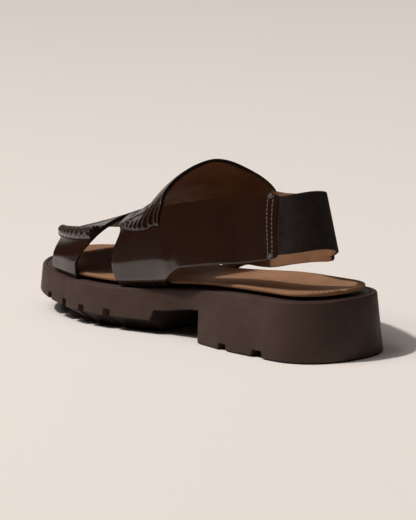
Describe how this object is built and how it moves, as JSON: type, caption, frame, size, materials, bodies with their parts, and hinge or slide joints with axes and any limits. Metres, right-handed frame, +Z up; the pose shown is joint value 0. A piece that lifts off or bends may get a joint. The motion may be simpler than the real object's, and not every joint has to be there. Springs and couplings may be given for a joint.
{
  "type": "slingback sandal",
  "caption": "Left slingback sandal: glossy leather toe and instep bands, quarter straps, elastic heel strap, tan insole and a low-heeled rubber lug sole.",
  "frame": {"origin": "centre of the bounding box at ground level", "axes": "+Z up, toe along -Y, outer (lateral) side of the left foot along +X"},
  "size_m": [0.0984, 0.2686, 0.1008],
  "materials": {
    "sole_rubber": "satin",
    "insole_leather": "matte",
    "upper_leather": "gloss",
    "elastic_fabric": "matte",
    "lining_leather": "matte",
    "thread": "satin"
  },
  "bodies": {
    "root": {"outsole": "sole_rubber", "insole": "insole_leather", "upper": "upper_leather", "heel_elastic": "elastic_fabric"}
  },
  "joints": []
}
